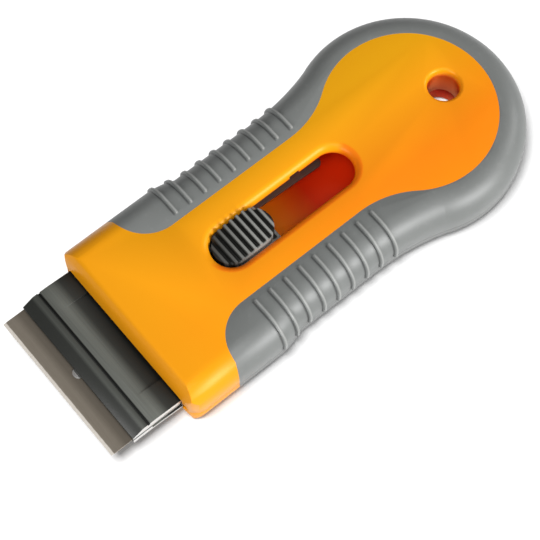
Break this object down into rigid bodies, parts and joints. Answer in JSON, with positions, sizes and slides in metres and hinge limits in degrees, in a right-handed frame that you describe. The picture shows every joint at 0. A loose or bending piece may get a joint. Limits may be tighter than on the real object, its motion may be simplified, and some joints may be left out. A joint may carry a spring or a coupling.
{
  "type": "razor blade scraper",
  "caption": "Handheld razor blade scraper with a round-ended two-tone handle, a thumb button in a slot that slides the blade holder in and out, and a hanging hole.",
  "frame": {"origin": "middle of the tool's outline with the blade out, on the plane of its back", "axes": "+X across the tool, +Y from the cutting edge to the round head, +Z out of the thumb side"},
  "size_m": [0.0534, 0.1258, 0.0138],
  "materials": {
    "orange_plastic": "lightly grained, satin",
    "grey_grip": "soft matt",
    "dark_plastic": "fine grained, matt",
    "black_aluminium": "black anodised with bare cut ends",
    "plated_steel": "zinc plated",
    "spring_steel": "bright, oiled",
    "blade_steel": "ground, with a bright bevel",
    "spine_steel": "rolled"
  },
  "bodies": {
    "handle": {"front_shell": "orange_plastic", "back_shell": "orange_plastic", "front_grip": "grey_grip", "back_grip": "grey_grip", "shell_screws": "plated_steel"},
    "carriage": {"blade_holder": "black_aluminium", "slide_plate": "plated_steel", "holder_rivets": "plated_steel", "slide_block": "dark_plastic", "block_rivets": "plated_steel", "detent_spring": "spring_steel", "button_spring": "plated_steel"},
    "button": {"thumb_button": "dark_plastic", "lock_bar": "plated_steel"},
    "blade": {"blade": "blade_steel", "blade_spine": "spine_steel"}
  },
  "joints": [
    {"name": "carriage_slide", "type": "slide", "parent": "handle", "child": "carriage", "axis": [0, 1, 0], "range_m": [0, 0.0225]},
    {"name": "button_press", "type": "slide", "parent": "carriage", "child": "button", "axis": [0, 0, -1], "range_m": [0, 0.0015], "stiffness_N_per_m": 800, "springref_m": -0.0005, "deforming": ["button_spring"]},
    {"name": "blade_change", "type": "slide", "parent": "carriage", "child": "blade", "axis": [1, 0, 0], "range_m": [0, 0.047]}
  ]
}
